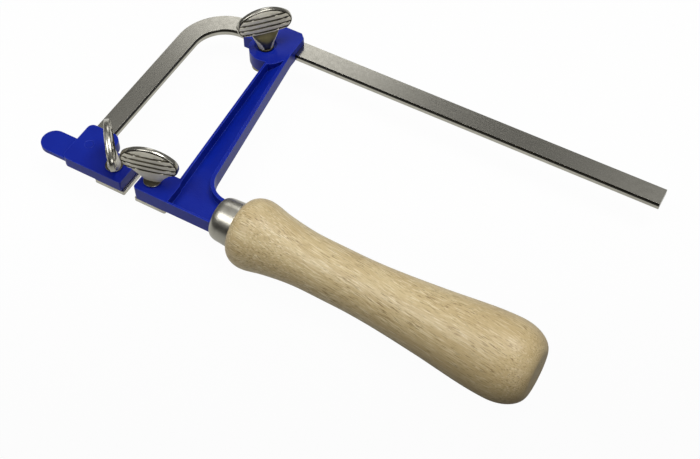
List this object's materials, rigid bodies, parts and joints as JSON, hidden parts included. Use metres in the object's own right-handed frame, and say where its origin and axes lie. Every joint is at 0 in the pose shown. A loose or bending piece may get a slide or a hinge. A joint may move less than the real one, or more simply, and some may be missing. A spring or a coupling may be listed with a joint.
{
  "type": "fret saw frame",
  "caption": "Adjustable fret saw frame: a bent steel bow slides through a cast yoke, with thumb-screw blade clamps and a turned wooden handle.",
  "frame": {"origin": "on the rear jaw screw's axis, in the grip plane where the blade lies on the flat underside of the casting", "axes": "+X along the blade line towards the handle, +Y from the blade line up to the bow bar, +Z square to the saw's flat side on the side of the thumb screws"},
  "size_m": [0.1841, 0.0946, 0.0311],
  "materials": {
    "blue_enamel": "gloss enamel over a casting",
    "plated_steel": "bright nickel plating, slightly worn",
    "turned_wood": "pale hardwood, thin satin varnish"
  },
  "bodies": {
    "frame": {"yoke": "blue_enamel", "ferrule": "plated_steel", "handle": "turned_wood"},
    "bow": {"bow_bar": "plated_steel", "front_jaw": "blue_enamel", "bar_rivet": "blue_enamel"},
    "front_screw": {"front_jaw_screw": "plated_steel"},
    "front_plate": {"front_jaw_plate": "plated_steel", "front_guide_pin": "plated_steel"},
    "rear_screw": {"rear_jaw_screw": "plated_steel"},
    "rear_plate": {"rear_jaw_plate": "plated_steel", "rear_guide_pin": "plated_steel"},
    "lock": {"lock_screw": "plated_steel"},
    "clamp": {"clamp_plate": "plated_steel", "clamp_guide_pin": "plated_steel"}
  },
  "joints": [
    {"name": "bow_slide", "type": "slide", "parent": "frame", "child": "bow", "axis": [-1, 0, 0], "range_m": [0, 0.125]},
    {"name": "front_screw_turn", "type": "hinge", "parent": "bow", "child": "front_screw", "pos_m": [-0.0147, 0, 0], "axis": [0, 0, 1], "range_deg": [-111, 4]},
    {"name": "front_plate_slide", "type": "slide", "parent": "bow", "child": "front_plate", "axis": [0, 0, -1], "range_m": [-0.0002139, 0.0000058]},
    {"name": "rear_screw_turn", "type": "hinge", "parent": "frame", "child": "rear_screw", "pos_m": [0, 0, 0], "axis": [0, 0, 1], "range_deg": [-121, 1081]},
    {"name": "rear_plate_slide", "type": "slide", "parent": "frame", "child": "rear_plate", "axis": [0, 0, -1], "range_m": [-0.00023, 0.0021]},
    {"name": "lock_screw_turn", "type": "hinge", "parent": "frame", "child": "lock", "pos_m": [0, 0.068, 0], "axis": [0, 0, 1], "range_deg": [-1, 1081]},
    {"name": "clamp_slide", "type": "slide", "parent": "frame", "child": "clamp", "axis": [0, 0, -1], "range_m": [0, 0.0021]}
  ],
  "couplings": [
    {"joint": "front_screw_turn", "follows": "front_plate_slide", "rad_per_m": 8976},
    {"joint": "rear_screw_turn", "follows": "rear_plate_slide", "rad_per_m": 8976},
    {"joint": "lock_screw_turn", "follows": "clamp_slide", "rad_per_m": 8976}
  ]
}
